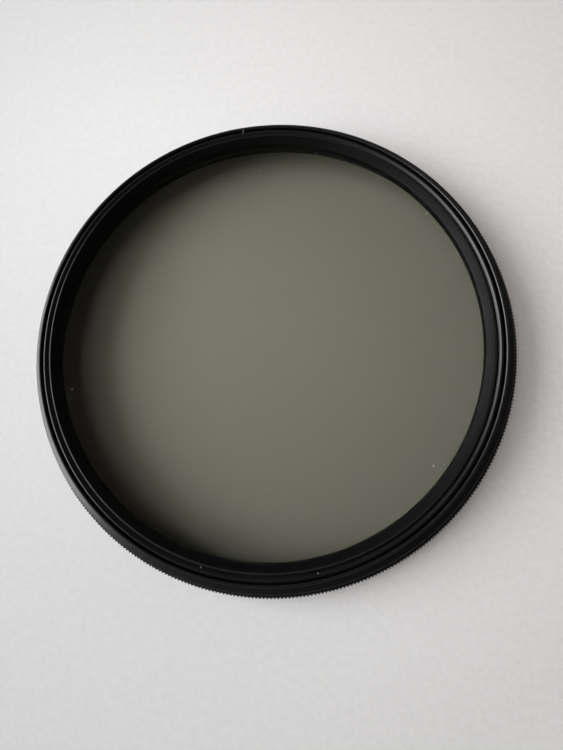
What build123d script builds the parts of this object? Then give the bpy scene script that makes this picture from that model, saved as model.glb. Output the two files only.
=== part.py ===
from build123d import *
import math
import os

# Screw-in circular polarising filter, 77 mm thread.
# Origin at the middle of the thread's lower end, +Z out of the lens, millimetres.

# Mount ring: the thread that screws into the lens, a flange, and a hub for the front ring.
thread_diameter = 77.0
thread_length = 1.8
thread_lead_in = 0.3
thread_wall = 1.7
thread_relief_height = 0.35
thread_relief_depth = 0.5
flange_width = 1.3
flange_height = 0.7
flange_edge = 0.15
hub_wall = 1.2
hub_height = 1.2
bore_flare = 0.75
bore_flare_height = 2.1

# Fits between the two rings.
running_clearance = 0.05
axial_clearance = 0.1
thread_clearance = 0.05

# Split flat-sided spring wire that keeps the front ring on the hub.
wire_width = 0.5
wire_thickness = 0.4
wire_clearance = 0.05
wire_split = 5.0

# Laminated glass: two sheets with the polarising and quarter-wave films between them.
glass_inset = 0.3
glass_sheet = 0.55
film_thickness = 0.1
glass_clearance = 0.05

# Seat for the glass in the front ring.
seat_overlap = 0.9
seat_thickness = 0.55

# Retaining ring: bevel, narrow lip, V-groove and rounded rim.
clamp_overlap = 1.95
aperture_wall = 1.43
bevel_width = 1.12
bevel_rise = 0.65
lip_flat = 0.12
lip_edge = 0.27
groove_flank = 0.14
groove_depth = 0.82
rim_slope_width = 0.48
rim_slope_rise = 0.33
rim_width = 0.46
rim_crown = 0.08
rim_end_rise = 0.03
skirt_clearance = 0.2
skirt_depth = 1.1
thread_height = 0.55
thread_step = 0.2
slit_width = 0.4
slit_depth = 1.35

# Front ring: crest, step down to a sloping shoulder, wall, ledge and knurled grip.
crest_rise = 1.68
crest_width = 0.4
crest_edge = 0.1
step_run = 0.2
step_drop = 1.48
shoulder_run = 1.16
shoulder_drop = 0.23
shoulder_wall = 1.62
ledge_width = 0.74
knurl_depth = 0.22
knurl_pitch = 0.575
knurl_stock = 0.02
grip_edge = 0.25

# Heights, from the thread's end upwards.
flange_top = thread_length + flange_height
hub_top = flange_top + hub_height
ring_bottom = flange_top + axial_clearance
seat_bottom = hub_top + axial_clearance
glass_bottom = seat_bottom + seat_thickness
quarter_wave_bottom = glass_bottom + glass_sheet
polarizer_bottom = quarter_wave_bottom + film_thickness
front_glass_bottom = polarizer_bottom + film_thickness
glass_top = front_glass_bottom + glass_sheet
skirt_bottom = glass_top - skirt_depth
crest_height = glass_top + crest_rise
step_height = crest_height - step_drop
shoulder_height = step_height - shoulder_drop
ledge_height = shoulder_height - shoulder_wall
wire_height = flange_top + hub_height / 2

# Radii, from the thread inwards to the glass and outwards to the grip.
thread_radius = thread_diameter / 2
bore_radius = thread_radius - thread_wall
hub_radius = bore_radius + hub_wall
flange_radius = thread_radius + flange_width
ring_bore_radius = hub_radius + running_clearance
wire_radius = hub_radius + running_clearance / 2
glass_radius = bore_radius - glass_inset
glass_bore_radius = glass_radius + glass_clearance
seat_radius = glass_radius - seat_overlap
aperture_radius = glass_radius - clamp_overlap
skirt_inner_radius = glass_radius + skirt_clearance
lip_radius = aperture_radius + bevel_width + lip_flat + lip_edge
groove_radius = lip_radius + groove_flank
rim_radius = groove_radius + rim_slope_width
slit_inner_radius = rim_radius + rim_width
slit_outer_radius = slit_inner_radius + slit_width
skirt_radius = slit_inner_radius + thread_step
skirt_bore_radius = skirt_radius + thread_clearance
crest_radius = slit_outer_radius + crest_width
step_radius = crest_radius + step_run
shoulder_radius = step_radius + shoulder_run
knurl_root_radius = shoulder_radius + ledge_width
knurl_tip_radius = knurl_root_radius + knurl_depth
knurl_teeth = round(2 * math.pi * knurl_tip_radius / knurl_pitch)

# Grooves for the wire, half in the hub and half in the front ring.
wire_groove_inner = wire_radius - wire_width / 2 - wire_clearance
wire_groove_outer = wire_radius + wire_width / 2 + wire_clearance
wire_groove_bottom = wire_height - wire_thickness / 2 - wire_clearance
wire_groove_top = wire_height + wire_thickness / 2 + wire_clearance


def turned(face, arc=360):
    """Sweep a section drawn as (radius, height) round the Z axis."""
    return revolve(Plane.XZ * face, Axis.Z, revolution_arc=arc)


def outline(*points):
    """Closed section with straight sides."""
    return make_face(Polyline(*points, close=True))


def disc(radius, bottom, thickness):
    return Pos(0, 0, bottom) * extrude(Circle(radius), thickness)


def mount_ring():
    """Thread (drawn at its major diameter), flange and hub with the wire's groove."""
    relief_radius = thread_radius - thread_relief_depth
    section = outline(
        (bore_radius + bore_flare, 0),
        (thread_radius - thread_lead_in, 0),
        (thread_radius, thread_lead_in),
        (thread_radius, thread_length - thread_relief_height),
        (relief_radius, thread_length - thread_relief_height),
        (relief_radius, thread_length),
        (flange_radius - flange_edge, thread_length),
        (flange_radius, thread_length + flange_edge),
        (flange_radius, flange_top - flange_edge),
        (flange_radius - flange_edge, flange_top),
        (hub_radius, flange_top),
        (hub_radius, wire_groove_bottom),
        (wire_groove_inner, wire_groove_bottom),
        (wire_groove_inner, wire_groove_top),
        (hub_radius, wire_groove_top),
        (hub_radius, hub_top),
        (bore_radius, hub_top),
        (bore_radius, bore_flare_height),
    )
    return turned(section)


def snap_ring():
    """Spring wire, split so that it can be sprung over the hub."""
    split_angle = math.degrees(wire_split / wire_radius)
    section = Pos(wire_radius, wire_height) * Rectangle(wire_width, wire_thickness)
    return Rot(0, 0, split_angle / 2) * turned(section, 360 - split_angle)


def knurl_bar():
    """Star-shaped bar, taller than the front ring: its flanks are those of the knurl's teeth."""
    half_pitch = math.pi / knurl_teeth
    points = []
    for index in range(2 * knurl_teeth):
        radius = knurl_root_radius if index % 2 else knurl_tip_radius
        points.append((radius * math.cos(index * half_pitch), radius * math.sin(index * half_pitch)))
    return extrude(outline(*points), crest_height + crest_width)


def rotating_ring():
    """Front ring: glass seat and wire groove inside, shoulder and knurled grip outside."""
    slit_bottom = crest_height - slit_depth
    blank_radius = knurl_tip_radius + knurl_stock
    blank_edge = grip_edge + knurl_stock
    section = outline(
        (ring_bore_radius, ring_bottom),
        (blank_radius - blank_edge, ring_bottom),
        (blank_radius, ring_bottom + blank_edge),
        (blank_radius, ledge_height - blank_edge),
        (blank_radius - blank_edge, ledge_height),
        (shoulder_radius, ledge_height),
        (shoulder_radius, shoulder_height),
        (step_radius, step_height),
        (crest_radius, crest_height - crest_edge),
        (crest_radius - crest_edge, crest_height),
        (slit_outer_radius + crest_edge, crest_height),
        (slit_outer_radius, crest_height - crest_edge),
        (slit_outer_radius, slit_bottom),
        (skirt_bore_radius, slit_bottom),
        (skirt_bore_radius, skirt_bottom - axial_clearance),
        (glass_bore_radius, skirt_bottom - axial_clearance),
        (glass_bore_radius, glass_bottom),
        (seat_radius, glass_bottom),
        (seat_radius, seat_bottom),
        (ring_bore_radius, seat_bottom),
        (ring_bore_radius, wire_groove_top),
        (wire_groove_outer, wire_groove_top),
        (wire_groove_outer, wire_groove_bottom),
        (ring_bore_radius, wire_groove_bottom),
    )
    return turned(section) & knurl_bar()


def retaining_ring():
    """Screwed in over the glass: bevel, lip, V-groove and rounded rim on top, thread on the skirt."""
    bevel_foot = glass_top + aperture_wall
    bevel_end = aperture_radius + bevel_width
    lip = bevel_foot + bevel_rise
    groove = lip - groove_depth
    rim = groove + rim_slope_rise
    rim_start = (rim_radius, rim)
    rim_top = (rim_radius + rim_width / 2, rim + rim_crown)
    rim_end = (slit_inner_radius, rim + rim_end_rise)
    straight = Polyline(
        rim_end,
        (slit_inner_radius, skirt_bottom + thread_height),
        (skirt_radius, skirt_bottom + thread_height),
        (skirt_radius, skirt_bottom),
        (skirt_inner_radius, skirt_bottom),
        (skirt_inner_radius, glass_top),
        (aperture_radius, glass_top),
        (aperture_radius, bevel_foot),
        (bevel_end, lip),
        (bevel_end + lip_flat, lip),
        (lip_radius, lip - lip_edge),
        (groove_radius, groove),
        rim_start,
    )
    crown = ThreePointArc(rim_start, rim_top, rim_end)
    return turned(make_face(straight + crown))


nodes = {
    "mount_ring": mount_ring(),
    "snap_ring": snap_ring(),
    "rotating_ring": rotating_ring(),
    "retaining_ring": retaining_ring(),
    "rear_glass": disc(glass_radius, glass_bottom, glass_sheet),
    "quarter_wave_film": disc(glass_radius, quarter_wave_bottom, film_thickness),
    "polarizing_film": disc(glass_radius, polarizer_bottom, film_thickness),
    "front_glass": disc(glass_radius, front_glass_bottom, glass_sheet),
}

os.makedirs("parts", exist_ok=True)
for name, solid in nodes.items():
    export_step(solid, os.path.join("parts", name + ".step"))
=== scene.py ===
import math
import random

import bmesh
import bpy
from mathutils import Matrix, Vector


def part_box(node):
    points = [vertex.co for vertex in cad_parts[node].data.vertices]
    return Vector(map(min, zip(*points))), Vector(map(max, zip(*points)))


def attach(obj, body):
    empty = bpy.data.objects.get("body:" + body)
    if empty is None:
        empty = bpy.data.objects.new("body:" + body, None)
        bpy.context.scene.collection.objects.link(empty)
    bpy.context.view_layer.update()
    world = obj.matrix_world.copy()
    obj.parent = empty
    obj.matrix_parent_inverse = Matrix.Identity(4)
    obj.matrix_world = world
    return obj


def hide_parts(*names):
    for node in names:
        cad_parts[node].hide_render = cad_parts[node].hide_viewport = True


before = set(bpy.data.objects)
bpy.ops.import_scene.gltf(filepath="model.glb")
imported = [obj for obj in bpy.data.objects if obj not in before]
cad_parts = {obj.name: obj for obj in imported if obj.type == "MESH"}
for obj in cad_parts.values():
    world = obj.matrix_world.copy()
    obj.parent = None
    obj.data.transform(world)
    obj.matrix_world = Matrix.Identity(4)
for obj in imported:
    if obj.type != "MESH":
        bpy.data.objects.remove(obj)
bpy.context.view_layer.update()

# Screw-in circular polarising filter lying on paper. Sizes are in millimetres, metres in the meshes.
MM = 0.001


def node_top(node):
    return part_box(node)[1].z / MM


def node_bottom(node):
    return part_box(node)[0].z / MM


def node_radius(node):
    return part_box(node)[1].x / MM


# Read from the frame.
hub_top = node_top("mount_ring")
flange_radius = node_radius("mount_ring")
ring_bottom = node_bottom("rotating_ring")
crest_height = node_top("rotating_ring")
knurl_tip_radius = node_radius("rotating_ring")
lip_height = node_top("retaining_ring")
skirt_bottom = node_bottom("retaining_ring")
skirt_radius = node_radius("retaining_ring")
glass_top = node_top("front_glass")
glass_bottom = node_bottom("rear_glass")
glass_radius = node_radius("front_glass")

# Mount ring.
thread_radius = 38.5
thread_length = 1.8
thread_lead_in = 0.3
thread_relief_height = 0.35
thread_relief_depth = 0.5
thread_pitch = 0.75
thread_depth = 0.44
thread_flat = 0.1
thread_rows = 32
mount_columns = 360
bore_radius = 36.8
bore_flare = 0.75
bore_flare_height = 2.1
flange_height = 0.7
flange_edge = 0.15
hub_radius = 38.0
wire_groove_inner = 37.725
wire_groove_bottom = 2.85
wire_groove_top = 3.35

# Front ring.
ring_bore_radius = 38.05
wire_groove_outer = 38.325
seat_radius = 35.6
seat_thickness = 0.55
glass_bore_radius = 36.55
skirt_bore_radius = 37.39
slit_outer_radius = 37.54
slit_depth = 1.35
crest_bevel_width = 0.15
crest_bevel_depth = 0.1
crest_radius = 37.94
step_radius = 38.14
step_drop = 1.48
shoulder_radius = 39.3
shoulder_drop = 0.23
shoulder_wall = 1.62
knurl_depth = 0.27
knurl_teeth = 440
tooth_columns = 3
grip_edge = 0.25
axial_clearance = 0.1

# Retaining ring.
aperture_radius = 34.55
aperture_wall = 1.43
bevel_end = 35.67
lip_flat = 0.12
lip_edge = 0.27
groove_radius = 36.25
groove_depth = 0.82
rim_radius = 36.74
rim_slope_rise = 0.33
rim_crown = 0.06
rim_end_rise = -0.07
slit_inner_radius = 37.14
skirt_inner_radius = 36.7
thread_height = 0.55
rim_steps = 12
matte_margin = 0.02
retaining_columns = 440

# Rounding of the turned edges.
bore_edge = 0.05
ledge_edge = 0.1
shoulder_edge = 0.12
step_edge = 0.25
crest_edge = 0.1
crest_bevel_edge = 0.06
skirt_edge = 0.04
bevel_foot_edge = 0.03
bevel_edge = 0.05
lip_inner_edge = 0.25
lip_outer_edge = 0.1
groove_edge = 0.03

# Sheets of the laminate: ground edges, and a hair's gap round the films.
glass_edge = 0.08
film_edge = 0.01
film_gap = 0.01
sheet_columns = 220

# Camera, as the photo was taken: close to the filter with a wide lens.
camera_position = (10.69, -20.19, 87.85)
camera_aim = (2.83, -5.91, 7.2)
focal_length = 24.96

# Dust seen in the photo: radius, angle in degrees and width of each crumb.
glass_crumbs = [
    (32.8, -37.8, 0.24), (34, -36, 0.16), (33.9, -37.3, 0.14),
    (30.7, 92, 0.2), (33.9, -101, 0.18), (33.4, -98, 0.18),
]
shade_crumbs = [(33.3, -167, 0.24), (34, -165, 0.2), (33.7, -157.5, 0.2)]
edge_crumbs = [(34.3, 38.2, 0.26), (34.3, 75.4, 0.18), (34.3, 24.2, 0.2)]
dark_crumbs = [(30.3, 101.6, 0.32), (25.3, 157, 0.3)]
groove_crumbs = [(36.4, -105, 0.2), (36.6, -77, 0.2)]
dust_gap = 0.01

# Crumbs, as shares of their width.
crumb_sides = 6
crumb_reach = (0.7, 1.2)
crumb_lean = 0.15
crumb_height = 0.4

# Fibre across the slit.
lint_angle = 95.8
lint_start = 36.84
lint_length = 1.0
lint_width = 0.16
lint_bend = 0.08
lint_waves = 5
lint_lift = 0.05
lint_taper = 0.4
lint_steps = 8
lint_sides = 5

# Paper, in metres: the middle of its painted pool of light, how far that painted light reaches, and where it
# fades into the room.
painted_light_middle = (-0.014, 0.018, 0)
painted_light_reach = 0.09
paper_fade = (0.18, 0.5)
paper_size = 6.0
paper_gap = 0.00001

# Room: how bright its walls are, how high up they end (as the sine of the elevation), and how much
# sooner on the right.
room_colour = (1.0, 0.92, 0.86, 1)
room_strength = 0.32
room_top_strength = 0.04
room_wall_start = 0.3
room_wall_end = 0.8
room_dark_side = 0.3


def rounded(corners, steps=4):
    """Closed section through (radius, height, rounding) corners, with a curve at each rounded one."""
    section = []
    for index, (radius, height, rounding) in enumerate(corners):
        corner = Vector((radius, height))
        if not rounding:
            section.append(corner)
            continue
        before = Vector(corners[index - 1][:2]) - corner
        after = Vector(corners[(index + 1) % len(corners)][:2]) - corner
        reach = rounding / math.tan(before.angle(after) / 2)
        reach = min(reach, before.length / 2.2, after.length / 2.2)
        start = corner + before.normalized() * reach
        end = corner + after.normalized() * reach
        for step in range(steps + 1):
            t = step / steps
            section.append(start * (1 - t) ** 2 + corner * 2 * t * (1 - t) + end * t ** 2)
    return section


def arc(start, middle, end, steps):
    """Points between start and end on the circle through three (radius, height) points."""
    a, b, c = Vector(start), Vector(middle), Vector(end)
    d = 2 * (a.x * (b.y - c.y) + b.x * (c.y - a.y) + c.x * (a.y - b.y))
    aa, bb, cc = a.length_squared, b.length_squared, c.length_squared
    x = (aa * (b.y - c.y) + bb * (c.y - a.y) + cc * (a.y - b.y)) / d
    y = (aa * (c.x - b.x) + bb * (a.x - c.x) + cc * (b.x - a.x)) / d
    centre = Vector((x, y))
    first = math.atan2(a.y - y, a.x - x)
    last = math.atan2(c.y - y, c.x - x)
    points = []
    for step in range(1, steps):
        angle = first + (last - first) * step / steps
        points.append(centre + Vector((math.cos(angle), math.sin(angle))) * (a - centre).length)
    return points


def turned(name, section, columns, trim=None, disc=False):
    """Ring with this closed section, or a disc with this open one at its edge. trim(column, height) is the
    largest radius left there."""
    vertices = []
    for column in range(columns):
        angle = 2 * math.pi * column / columns
        for radius, height in section:
            if trim:
                radius = min(radius, trim(column, height))
            vertices.append((radius * math.cos(angle) * MM, radius * math.sin(angle) * MM, height * MM))
    rows = len(section)
    faces = []
    for column in range(columns):
        here = column * rows
        there = (column + 1) % columns * rows
        for row in range(rows - 1 if disc else rows):
            above = (row + 1) % rows
            faces.append((here + row, there + row, there + above, here + above))
    if disc:
        faces.append(list(range(0, len(vertices), rows)))
        faces.append(list(range(rows - 1, len(vertices), rows)))
    return mesh_object(name, vertices, faces)


def mesh_object(name, vertices, faces, sharp_angle=35):
    mesh = bpy.data.meshes.new(name)
    mesh.from_pydata(vertices, [], faces)
    work = bmesh.new()
    work.from_mesh(mesh)
    bmesh.ops.remove_doubles(work, verts=work.verts, dist=1e-7)
    bmesh.ops.dissolve_degenerate(work, edges=work.edges, dist=1e-7)
    bmesh.ops.recalc_face_normals(work, faces=work.faces)
    work.to_mesh(mesh)
    work.free()
    mesh.polygons.foreach_set("use_smooth", [True] * len(mesh.polygons))
    mesh.set_sharp_from_angle(angle=math.radians(sharp_angle))
    piece = bpy.data.objects.new(name, mesh)
    bpy.context.scene.collection.objects.link(piece)
    return piece


class Nodes:
    """Short form for building the node tree of a material or a world."""

    def __init__(self, owner):
        owner.use_nodes = True
        self.owner = owner
        self.tree = owner.node_tree
        self.tree.nodes.clear()

    def add(self, kind, settings=None, **inputs):
        """Node with these inputs, each given by its name or, as i0, i1 and so on, by its number."""
        node = self.tree.nodes.new("ShaderNode" + kind)
        for key, value in (settings or {}).items():
            setattr(node, key, value)
        for key, value in inputs.items():
            self.put(node.inputs[int(key[1:]) if key[1:].isdigit() else key.replace("_", " ")], value)
        return node

    def put(self, socket, value):
        if isinstance(value, bpy.types.NodeSocket):
            self.tree.links.new(value, socket)
        else:
            socket.default_value = value

    def math(self, operation, a, b=0.0):
        return self.add("Math", {"operation": operation}, i0=a, i1=b).outputs[0]

    def span(self, value, low, high, to_low, to_high):
        """Map value from low..high to to_low..to_high, clamped."""
        return self.add("MapRange", i0=value, i1=low, i2=high, i3=to_low, i4=to_high).outputs[0]

    def finish(self, shader, output="OutputMaterial"):
        self.put(self.add(output).inputs["Surface"], shader)
        return self.owner


def ring_place(nodes):
    """Radius and height on the ring in metres, and the plain place, as sockets."""
    place = nodes.add("TexCoord").outputs["Object"]
    x, y, height = nodes.add("SeparateXYZ", i0=place).outputs
    squared = nodes.math("ADD", nodes.math("MULTIPLY", x, x), nodes.math("MULTIPLY", y, y))
    return nodes.math("SQRT", squared), height, place


def anodised(name, colour, roughness, line_depth, specular=0.5):
    """Black anodised aluminium: fine turning lines round the axis, and a slightly uneven dye."""
    nodes = Nodes(bpy.data.materials.new(name))
    radius, height, place = ring_place(nodes)
    across = nodes.math("ADD", radius, height)
    lines = nodes.add("TexNoise", {"noise_dimensions": "1D"}, W=across, Scale=9000.0, Detail=3.0).outputs[0]
    patches = nodes.add("TexNoise", Vector=place, Scale=180.0, Detail=4.0).outputs[0]
    mixed = nodes.math("ADD", nodes.math("MULTIPLY", lines, 0.5), nodes.math("MULTIPLY", patches, 0.5))
    tint = nodes.add("ValToRGB", i0=mixed)
    tint.color_ramp.elements[0].position = 0.3
    tint.color_ramp.elements[1].position = 0.7
    tint.color_ramp.elements[0].color = [channel * 0.8 for channel in colour] + [1]
    tint.color_ramp.elements[1].color = [channel * 1.2 for channel in colour] + [1]
    rough = nodes.span(mixed, 0.3, 0.7, roughness - 0.05, roughness + 0.05)
    bump = nodes.add("Bump", Strength=0.3, Distance=line_depth, Height=lines).outputs[0]
    shader = nodes.add("BsdfPrincipled", Base_Color=tint.outputs[0], Roughness=rough, Normal=bump)
    shader.inputs["Specular IOR Level"].default_value = specular
    return nodes.finish(shader.outputs[0])


def clear_sheet(name, colour, gloss, rim=1.0):
    """See-through sheet: a tint at each face, deeper by this factor at the rim as painted shade, and a
    reflection on the side that is looked at, which grows towards grazing angles."""
    nodes = Nodes(bpy.data.materials.new(name))
    radius, _, place = ring_place(nodes)
    cloud = nodes.add("TexNoise", Vector=place, Scale=40.0, Detail=3.0).outputs[0]
    # Painted shade: the tint darkens towards the rim by the factor rim.
    outward = nodes.span(nodes.math("MULTIPLY", radius, radius), 0.0, (glass_radius * MM) ** 2, 0.0, 0.9)
    tint = nodes.add("ValToRGB", i0=nodes.math("ADD", outward, nodes.math("MULTIPLY", cloud, 0.1)))
    tint.color_ramp.elements[0].color = [*colour, 1]
    tint.color_ramp.elements[1].color = [channel * rim for channel in colour] + [1]
    through = nodes.add("BsdfTransparent", Color=tint.outputs[0]).outputs[0]
    mirror = nodes.add("BsdfGlossy", Color=(0.95, 1.0, 0.96, 1), Roughness=0.03).outputs[0]
    outside = nodes.math("SUBTRACT", 1.0, nodes.add("NewGeometry").outputs["Backfacing"])
    share = nodes.math("MULTIPLY", nodes.add("Fresnel", IOR=gloss).outputs[0], outside)
    return nodes.finish(nodes.add("MixShader", i0=share, i1=through, i2=mirror).outputs[0])


def paint(piece, *materials):
    piece.data.materials.clear()
    for material in materials:
        piece.data.materials.append(material)


def mount_ring(material):
    """Thread, flange and hub. The thread is a V-shaped helix cut into the cylinder."""
    thread_top = thread_length - thread_relief_height
    relief_radius = thread_radius - thread_relief_depth
    flange_top = thread_length + flange_height
    run = thread_top - thread_lead_in
    thread_line = []
    for row in range(1, thread_rows):
        thread_line.append(Vector((thread_radius, thread_lead_in + run * row / thread_rows)))
    lower = rounded([
        (bore_radius, bore_flare_height, 0),
        (bore_radius + bore_flare, 0, 0),
        (thread_radius - thread_lead_in, 0, 0),
        (thread_radius, thread_lead_in, 0),
    ])
    upper = rounded([
        (thread_radius, thread_top, 0),
        (relief_radius, thread_top, 0),
        (relief_radius, thread_length, 0),
        (flange_radius, thread_length, flange_edge),
        (flange_radius, flange_top, flange_edge),
        (hub_radius, flange_top, 0),
        (hub_radius, wire_groove_bottom, 0),
        (wire_groove_inner, wire_groove_bottom, 0),
        (wire_groove_inner, wire_groove_top, 0),
        (hub_radius, wire_groove_top, 0),
        (hub_radius, hub_top, 0),
        (bore_radius, hub_top, 0),
    ])

    def helix(column, height):
        if height > thread_length - thread_relief_height / 2:
            return flange_radius
        phase = (height / thread_pitch - column / mount_columns) % 1
        depth = abs(2 * phase - 1) / (1 - 2 * thread_flat) - thread_flat
        return thread_radius - thread_depth * min(1, max(0, depth))

    piece = turned("mount_ring_threaded", lower + thread_line + upper, mount_columns, helix)
    paint(piece, material)
    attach(piece, "mount")
    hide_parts("mount_ring")


def rotating_ring(material):
    """Front ring with its shoulder, ledge and knurled grip. Its edges are broken as on a turned part."""
    step = crest_height - step_drop
    shoulder = step - shoulder_drop
    ledge = shoulder - shoulder_wall
    slit_bottom = crest_height - slit_depth
    seat_bottom = glass_bottom - seat_thickness
    skirt_stop = skirt_bottom - axial_clearance
    section = rounded([
        (ring_bore_radius, ring_bottom, bore_edge),
        (knurl_tip_radius - grip_edge, ring_bottom, 0),
        (knurl_tip_radius, ring_bottom + grip_edge, 0),
        (knurl_tip_radius, ledge - grip_edge, 0),
        (knurl_tip_radius - grip_edge, ledge, 0),
        (shoulder_radius, ledge, ledge_edge),
        (shoulder_radius, shoulder, shoulder_edge),
        (step_radius, step, step_edge),
        (crest_radius, crest_height, crest_edge),
        (slit_outer_radius + crest_bevel_width, crest_height, crest_bevel_edge),
        (slit_outer_radius, crest_height - crest_bevel_depth, crest_bevel_edge),
        (slit_outer_radius, slit_bottom, 0),
        (skirt_bore_radius, slit_bottom, 0),
        (skirt_bore_radius, skirt_stop, 0),
        (glass_bore_radius, skirt_stop, 0),
        (glass_bore_radius, glass_bottom, 0),
        (seat_radius, glass_bottom, bore_edge),
        (seat_radius, seat_bottom, bore_edge),
        (ring_bore_radius, seat_bottom, 0),
        (ring_bore_radius, wire_groove_top, 0),
        (wire_groove_outer, wire_groove_top, 0),
        (wire_groove_outer, wire_groove_bottom, 0),
        (ring_bore_radius, wire_groove_bottom, 0),
    ])

    def teeth(column, height):
        return knurl_tip_radius - (0 if column % tooth_columns else knurl_depth)

    piece = turned("rotating_ring_knurled", section, tooth_columns * knurl_teeth, teeth)
    paint(piece, material)
    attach(piece, "front")
    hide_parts("rotating_ring")


def retaining_ring(satin, matte):
    """Bevel down to the glass, lip, V-groove and rounded rim."""
    bevel_foot = glass_top + aperture_wall
    lip_end = bevel_end + lip_flat
    groove = lip_height - groove_depth
    rim = groove + rim_slope_rise
    rim_start = (rim_radius, rim)
    rim_top = ((rim_radius + slit_inner_radius) / 2, rim + rim_crown)
    rim_end = (slit_inner_radius, rim + rim_end_rise)
    section = rounded([
        (slit_inner_radius, skirt_bottom + thread_height, 0),
        (skirt_radius, skirt_bottom + thread_height, skirt_edge),
        (skirt_radius, skirt_bottom, skirt_edge),
        (skirt_inner_radius, skirt_bottom, skirt_edge),
        (skirt_inner_radius, glass_top, 0),
        (aperture_radius, glass_top, skirt_edge),
        (aperture_radius, bevel_foot, bevel_foot_edge),
        (bevel_end, lip_height, bevel_edge),
        (lip_end, lip_height, lip_inner_edge),
        (lip_end + lip_edge, lip_height - lip_edge, lip_outer_edge),
        (groove_radius, groove, groove_edge),
        (*rim_start, 0),
    ])
    section += arc(rim_start, rim_top, rim_end, rim_steps)
    section += [Vector(rim_end)]
    piece = turned("retaining_ring_finished", section, retaining_columns)
    paint(piece, satin, matte)
    for face in piece.data.polygons:
        bevel = math.hypot(face.center.x, face.center.y) / MM < bevel_end - matte_margin
        face.material_index = 1 if bevel else 0
    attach(piece, "front")
    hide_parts("retaining_ring")


def sheet(name, node, material, edge, gap):
    """Disc in place of a sheet of the laminate."""
    low = node_bottom(node) + gap
    high = node_top(node) - gap
    radius = node_radius(node)
    profile = [(radius - edge, low), (radius, low + edge), (radius, high - edge), (radius - edge, high)]
    piece = turned(name, profile, sheet_columns, disc=True)
    paint(piece, material)
    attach(piece, "front")
    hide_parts(node)


def crumb(radius, angle, width, height, shape):
    """Vertices and faces of an irregular crumb: an uneven base and an off-centre top."""
    x = radius * math.cos(math.radians(angle))
    y = radius * math.sin(math.radians(angle))
    vertices = []
    for side in range(crumb_sides):
        turn = 2 * math.pi * side / crumb_sides
        reach = width / 2 * shape.uniform(*crumb_reach)
        vertices.append((x + reach * math.cos(turn), y + reach * math.sin(turn), height))
    lean = width * shape.uniform(-crumb_lean, crumb_lean)
    vertices.append((x + lean, y - lean, height + width * crumb_height))
    faces = [(side, (side + 1) % crumb_sides, crumb_sides) for side in range(crumb_sides)]
    faces.append(tuple(reversed(range(crumb_sides))))
    return vertices, faces


def scatter(name, crumbs, surface, material):
    """One piece of dust crumbs. surface(radius) is the height of what they lie on."""
    shape = random.Random(name)
    vertices = []
    faces = []
    for radius, angle, width in crumbs:
        points, sides = crumb(radius, angle, width, surface(radius) + dust_gap, shape)
        faces += [tuple(index + len(vertices) for index in side) for side in sides]
        vertices += points
    piece = mesh_object(name, [Vector(point) * MM for point in vertices], faces)
    paint(piece, material)
    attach(piece, "front")


def lint(material):
    """Short bent fibre lying across the slit."""
    turn = math.radians(lint_angle)
    outward = Vector((math.cos(turn), math.sin(turn), 0))
    along = Vector((-math.sin(turn), math.cos(turn), 0))
    up = Vector((0, 0, 1))
    vertices = []
    for step in range(lint_steps + 1):
        t = step / lint_steps
        arch = math.sin(math.pi * t)
        place = outward * (lint_start + lint_length * t)
        place += along * lint_bend * math.sin(lint_waves * t)
        place += up * (crest_height + lint_width / 2 + lint_lift * arch)
        thickness = lint_width / 2 * (1 - lint_taper + lint_taper * arch)
        for side in range(lint_sides):
            angle = 2 * math.pi * side / lint_sides
            vertices.append((place + (along * math.cos(angle) + up * math.sin(angle)) * thickness) * MM)
    faces = []
    for step in range(lint_steps):
        here = step * lint_sides
        there = here + lint_sides
        for side in range(lint_sides):
            after = (side + 1) % lint_sides
            faces.append((here + side, here + after, there + after, there + side))
    faces.append(tuple(reversed(range(lint_sides))))
    faces.append(tuple(range(len(vertices) - lint_sides, len(vertices))))
    piece = mesh_object("lint", vertices, faces)
    paint(piece, material)
    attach(piece, "front")


def dusty(name, colour):
    """Matt dust with an uneven colour."""
    nodes = Nodes(bpy.data.materials.new(name))
    place = nodes.add("TexCoord").outputs["Object"]
    grain = nodes.add("TexNoise", Vector=place, Scale=6000.0, Detail=2.0).outputs[0]
    tint = nodes.add("ValToRGB", i0=grain)
    tint.color_ramp.elements[0].color = [channel * 0.7 for channel in colour] + [1]
    tint.color_ramp.elements[1].color = [*colour, 1]
    return nodes.finish(nodes.add("BsdfPrincipled", Base_Color=tint.outputs[0], Roughness=0.9).outputs[0])


def glass_surface(radius):
    return glass_top


def groove_surface(radius):
    slope = rim_slope_rise / (rim_radius - groove_radius)
    return lip_height - groove_depth + slope * (radius - groove_radius)


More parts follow.
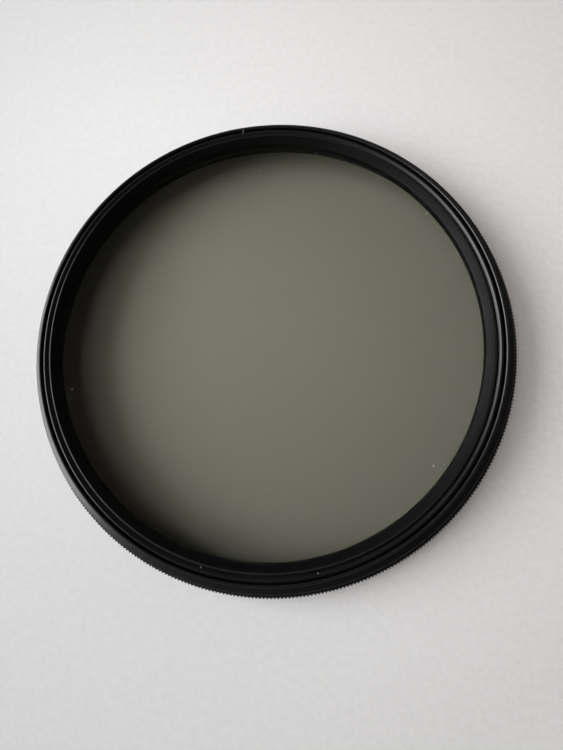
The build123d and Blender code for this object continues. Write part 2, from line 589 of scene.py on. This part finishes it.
def paper():
    """Pale floor that the filter lies on, coloured lighter near the middle and darker away from it as
    painted light. Far away it fades into the walls of the room.
    """
    corners = [(-1, -1, 0), (1, -1, 0), (1, 1, 0), (-1, 1, 0)]
    floor = mesh_object("floor", [Vector(corner) * paper_size for corner in corners], [(0, 1, 2, 3)])
    nodes = Nodes(bpy.data.materials.new("paper"))
    place = nodes.add("TexCoord").outputs["Object"]
    fibre = nodes.add("TexNoise", Vector=place, Scale=900.0, Detail=5.0).outputs[0]
    away = nodes.add("VectorMath", {"operation": "DISTANCE"}, i0=place, i1=painted_light_middle).outputs["Value"]
    # Painted pool of light: the paper's colour is lighter near the middle and darker further away.
    painted_pool = nodes.span(away, 0.0, painted_light_reach, 0.8, -0.1)
    tint = nodes.add("ValToRGB", i0=nodes.math("ADD", painted_pool, nodes.math("MULTIPLY", fibre, 0.3)))
    tint.color_ramp.elements[0].color = (0.6, 0.6, 0.6, 1)
    tint.color_ramp.elements[1].color = (0.92, 0.92, 0.92, 1)
    bump = nodes.add("Bump", Strength=0.4, Distance=0.0001, Height=fibre).outputs[0]
    shader = nodes.add("BsdfPrincipled", Base_Color=tint.outputs[0], Roughness=0.9, Normal=bump)
    shader.inputs["Specular IOR Level"].default_value = 0.2
    wall = nodes.add("Emission", Color=room_colour, Strength=room_strength)
    ray = nodes.add("LightPath").outputs
    mirrored = nodes.math("MAXIMUM", ray["Is Glossy Ray"], ray["Is Transmission Ray"])
    seen = nodes.math("MAXIMUM", ray["Is Camera Ray"], mirrored)
    far = nodes.math("MULTIPLY", nodes.span(away, *paper_fade, 0.0, 1.0), seen)
    blend = nodes.add("MixShader", i0=far, i1=shader.outputs[0], i2=wall.outputs[0])
    paint(floor, nodes.finish(blend.outputs[0]))
    floor.location.z = -paper_gap


def place_camera():
    data = bpy.data.cameras.new("camera")
    data.lens = focal_length
    data.clip_start = 0.005
    data.clip_end = 10
    camera = bpy.data.objects.new("camera", data)
    bpy.context.scene.collection.objects.link(camera)
    position = Vector(camera_position) * MM
    back = (position - Vector(camera_aim) * MM).normalized()
    right = Vector((0, 1, 0)).cross(back).normalized()
    up = back.cross(right)
    camera.matrix_world = Matrix.Translation(position) @ Matrix((right, up, back)).transposed().to_4x4()
    bpy.context.scene.camera = camera


def soft_light(name, elevation, azimuth, distance, width, height, energy, colour, shine=True):
    """Rectangular lamp turned to the filter. Without shine it lights the filter and isn't mirrored in it."""
    data = bpy.data.lights.new(name, "AREA")
    data.shape = "RECTANGLE"
    data.size = width
    data.size_y = height
    data.energy = energy
    data.color = colour
    lamp = bpy.data.objects.new(name, data)
    rise = math.radians(elevation)
    turn = math.radians(azimuth)
    away = Vector((math.cos(rise) * math.cos(turn), math.cos(rise) * math.sin(turn), math.sin(rise)))
    lamp.location = away * distance
    lamp.visible_glossy = shine
    lamp.rotation_mode = "QUATERNION"
    lamp.rotation_quaternion = away.to_track_quat("Z", "Y")
    bpy.context.scene.collection.objects.link(lamp)


def dim_room():
    """Faint warm light from the walls, less of it on the right, and hardly any from above."""
    nodes = Nodes(bpy.data.worlds.new("room"))
    direction = nodes.add("TexCoord").outputs["Generated"]
    x, _, z = nodes.add("SeparateXYZ", i0=direction).outputs
    height = nodes.math("ADD", z, nodes.span(x, 0.0, 1.0, 0.0, room_dark_side))
    strength = nodes.span(height, room_wall_start, room_wall_end, room_strength, room_top_strength)
    background = nodes.add("Background", Color=room_colour, Strength=strength)
    bpy.context.scene.world = nodes.finish(background.outputs[0], "OutputWorld")


satin_black = anodised("satin_black", (0.004, 0.004, 0.0043), roughness=0.31, line_depth=0.000006)
matte_black = anodised(
    "matte_black", (0.0004, 0.0004, 0.0004), roughness=0.46, line_depth=0.000006, specular=0.14
)
mount_black = anodised("mount_black", (0.02, 0.02, 0.021), roughness=0.4, line_depth=0.000006)
spring_steel = anodised("spring_steel", (0.4, 0.4, 0.4), roughness=0.3, line_depth=0.000003)
glass = clear_sheet("tinted_glass", (0.985, 0.99, 0.975), gloss=1.15)
# The polarizer's tint is its own colour; rim=0.95 darkens it towards the edge as painted shade.
polarizer = clear_sheet("polarizer", (0.738, 0.727, 0.706), gloss=1.02, rim=0.95)
retarder = clear_sheet("retarder", (0.995, 0.995, 0.995), gloss=1.02)

mount_ring(mount_black)
rotating_ring(satin_black)
retaining_ring(satin_black, matte_black)
sheet("front_glass_pane", "front_glass", glass, glass_edge, 0.0)
sheet("polarizing_film_sheet", "polarizing_film", polarizer, film_edge, film_gap)
sheet("quarter_wave_film_sheet", "quarter_wave_film", retarder, film_edge, film_gap)
sheet("rear_glass_pane", "rear_glass", glass, glass_edge, 0.0)
paint(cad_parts["snap_ring"], spring_steel)
pale_dust = dusty("pale_dust", (0.7, 0.68, 0.6))
scatter("pale_dust", glass_crumbs + shade_crumbs, glass_surface, pale_dust)
scatter("edge_dust", edge_crumbs, glass_surface, pale_dust)
scatter("groove_dust", groove_crumbs, groove_surface, pale_dust)
scatter("dark_dust", dark_crumbs, glass_surface, dusty("dark_dust", (0.02, 0.018, 0.015)))
lint(dusty("lint", (0.12, 0.1, 0.08)))

paper()
soft_light(
    "window", elevation=35, azimuth=178, distance=1.0, width=0.86, height=0.58,
    energy=12.0, colour=(0.98, 1.0, 1.02),
)
soft_light(
    "side", elevation=38, azimuth=228, distance=1.0, width=0.8, height=0.6,
    energy=0.8, colour=(1.0, 0.98, 0.96), shine=False,
)
soft_light(
    "fill", elevation=71, azimuth=176, distance=0.9, width=0.4, height=0.56,
    energy=1.75, colour=(1.0, 0.97, 0.95), shine=False,
)
soft_light(
    "bounce", elevation=5, azimuth=22, distance=0.5, width=0.6, height=0.06,
    energy=3.8, colour=(1.0, 0.9, 0.84), shine=False,
)
dim_room()
place_camera()
scene = bpy.context.scene
scene.view_settings.view_transform = "Standard"
scene.cycles.transparent_max_bounces = 24
